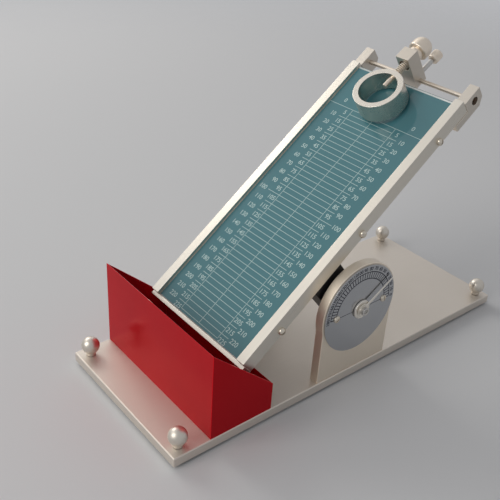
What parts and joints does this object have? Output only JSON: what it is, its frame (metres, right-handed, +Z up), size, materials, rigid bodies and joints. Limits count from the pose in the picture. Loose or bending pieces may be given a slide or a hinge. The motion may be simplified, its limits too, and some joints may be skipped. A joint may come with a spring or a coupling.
{
  "type": "rolling ball tack tester",
  "caption": "Bench tester with a tilting ruled deck between side rails, a ball release head at its top, a red catch tray, an angle dial and levelling feet on a flat base.",
  "frame": {"origin": "on the floor, under the middle of the base plate", "axes": "+X along the base from the catch tray to the rear, +Y to the left, +Z up"},
  "size_m": [0.375, 0.162, 0.2597],
  "materials": {
    "base_steel": "satin plated plate",
    "stand_metal": "satin machined plate",
    "screw_steel": "bright plated",
    "bush_brass": "turned",
    "dial_metal": "polished disc with dark print",
    "red_paint": "glossy enamel on sheet",
    "deck_metal": "satin with bright edges",
    "board_metal": "milled plate",
    "scale_glass": "back-painted glass with pale print",
    "black_metal": "black anodised",
    "shaft_steel": "ground",
    "head_metal": "satin nickel plate",
    "black_plastic": "moulded",
    "spring_steel": "drawn wire",
    "ball_chrome": "polished",
    "foot_rubber": "moulded"
  },
  "bodies": {
    "base": {"base_plate": "base_steel", "stand_right": "stand_metal", "stand_left": "stand_metal", "stand_screws": "screw_steel", "bush_right": "bush_brass", "bush_left": "bush_brass", "dial_plate": "dial_metal", "dial_screws": "screw_steel", "ball_tray": "red_paint", "tray_screws": "screw_steel"},
    "deck": {"rail_left": "deck_metal", "rail_right": "deck_metal", "deck_board": "board_metal", "scale_glass": "scale_glass", "end_lip": "deck_metal", "lip_screws": "screw_steel", "rail_screws": "screw_steel", "bracket_left": "deck_metal", "bracket_right": "deck_metal", "bracket_screws": "screw_steel", "pivot_block_left": "black_metal", "pivot_block_right": "black_metal", "pivot_block_screws": "screw_steel", "pivot_shaft": "shaft_steel", "shaft_grub_screws": "screw_steel", "pointer_hub": "head_metal", "pointer_needle": "shaft_steel", "pointer_washer": "screw_steel", "pointer_screw": "screw_steel", "lock_washer": "screw_steel"},
    "lock": {"lock_knob": "black_plastic"},
    "cross_rod": {"cross_rod": "shaft_steel", "rod_end_screws": "screw_steel"},
    "release_arm": {"release_block": "head_metal", "guide_bush": "head_metal", "plunger_spring": "spring_steel"},
    "thumbscrew": {"thumb_knob": "head_metal", "thumb_stud": "screw_steel"},
    "plunger": {"plunger_spindle": "shaft_steel", "release_ring": "head_metal", "release_knob": "head_metal"},
    "leveller_front_left": {"ball_knob_front_left": "ball_chrome", "level_stud_front_left": "screw_steel", "foot_pad_front_left": "foot_rubber"},
    "leveller_front_right": {"ball_knob_front_right": "ball_chrome", "level_stud_front_right": "screw_steel", "foot_pad_front_right": "foot_rubber"},
    "leveller_rear_left": {"ball_knob_rear_left": "ball_chrome", "level_stud_rear_left": "screw_steel", "foot_pad_rear_left": "foot_rubber"},
    "leveller_rear_right": {"ball_knob_rear_right": "ball_chrome", "level_stud_rear_right": "screw_steel", "foot_pad_rear_right": "foot_rubber"}
  },
  "joints": [
    {"name": "leveller_front_left_turn", "type": "hinge", "parent": "base", "child": "leveller_front_left", "pos_m": [-0.1777, 0.0647, 0], "axis": [0, 0, 1], "continuous": true},
    {"name": "leveller_front_right_turn", "type": "hinge", "parent": "base", "child": "leveller_front_right", "pos_m": [-0.1777, -0.0647, 0], "axis": [0, 0, 1], "continuous": true},
    {"name": "leveller_rear_left_turn", "type": "hinge", "parent": "base", "child": "leveller_rear_left", "pos_m": [0.1777, 0.0647, 0], "axis": [0, 0, 1], "continuous": true},
    {"name": "leveller_rear_right_turn", "type": "hinge", "parent": "base", "child": "leveller_rear_right", "pos_m": [0.1777, -0.0647, 0], "axis": [0, 0, 1], "continuous": true},
    {"name": "deck_tilt", "type": "hinge", "parent": "base", "child": "deck", "pos_m": [-0.0085, 0, 0.0707], "axis": [0, -1, 0], "range_deg": [-38.4, 9.6]},
    {"name": "lock_turn", "type": "hinge", "parent": "deck", "child": "lock", "pos_m": [-0.0085, 0.078, 0.0707], "axis": [0, 1, 0], "range_deg": [0, 270]},
    {"name": "arm_swing", "type": "hinge", "parent": "deck", "child": "cross_rod", "pos_m": [0.10894, 0, 0.22375], "axis": [0, 1, 0], "range_deg": [-4, 71]},
    {"name": "arm_slide", "type": "slide", "parent": "cross_rod", "child": "release_arm", "axis": [0, 1, 0], "range_m": [-0.032, 0.029]},
    {"name": "thumbscrew_turn", "type": "hinge", "parent": "release_arm", "child": "thumbscrew", "pos_m": [0.12544, 0.0015, 0.23505], "axis": [0.8251, 0, 0.565], "range_deg": [0, 300]},
    {"name": "plunger_pull", "type": "slide", "parent": "release_arm", "child": "plunger", "axis": [0.8251, 0, 0.565], "range_m": [0, 0.006], "stiffness_N_per_m": 250, "springref_m": -0.004, "deforming": ["plunger_spring"]}
  ]
}
